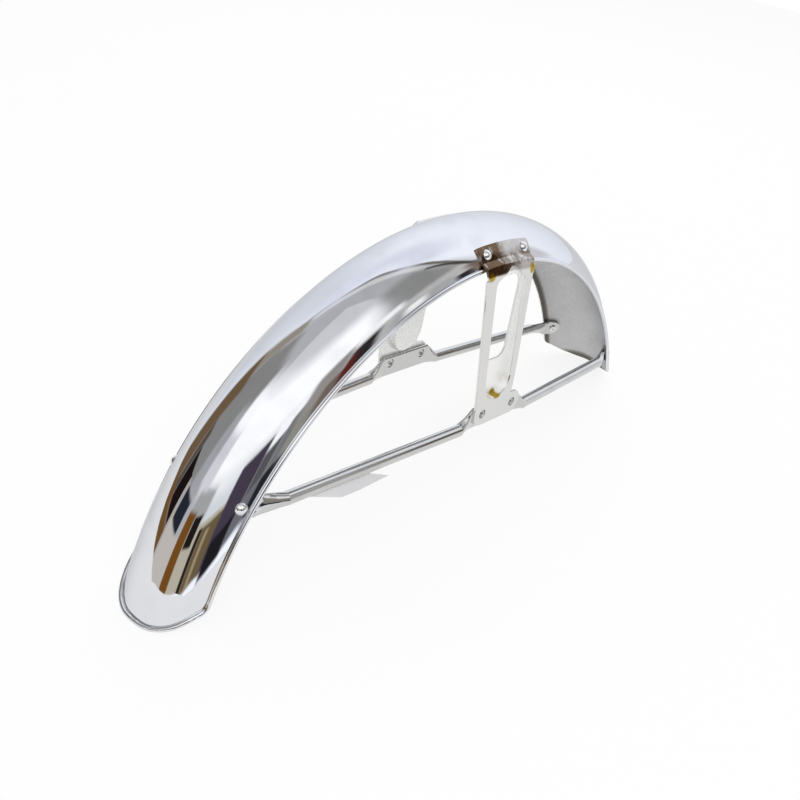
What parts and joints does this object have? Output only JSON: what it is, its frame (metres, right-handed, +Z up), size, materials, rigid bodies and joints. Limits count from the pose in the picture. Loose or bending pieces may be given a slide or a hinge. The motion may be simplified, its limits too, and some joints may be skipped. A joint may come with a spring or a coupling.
{
  "type": "motorcycle front mudguard",
  "caption": "Chromed front mudguard for a motorcycle: rounded steel blade with a rolled rim, riveted fork brackets and stay tubes that bolt to the fork legs.",
  "frame": {"origin": "on the floor under the middle of the overall box, with the part standing on both tips", "axes": "+X to the short front end, +Y to the left side, +Z up"},
  "size_m": [0.6404, 0.119, 0.2424],
  "materials": {
    "chrome_blade": "mirror chrome outside, dull plating inside",
    "plated_bracket": "bright plated pressing",
    "plated_tube": "bright plated tube",
    "plated_guide": "plated sheet",
    "plated_rivet": "plated rivet"
  },
  "bodies": {
    "root": {"mudguard_blade": "chrome_blade", "right_fork_bracket": "plated_bracket", "left_fork_bracket": "plated_bracket", "right_stay_tube": "plated_tube", "left_stay_tube": "plated_tube", "cable_guide": "plated_guide", "bracket_rivets": "plated_rivet", "stay_rivets": "plated_rivet"}
  },
  "joints": []
}
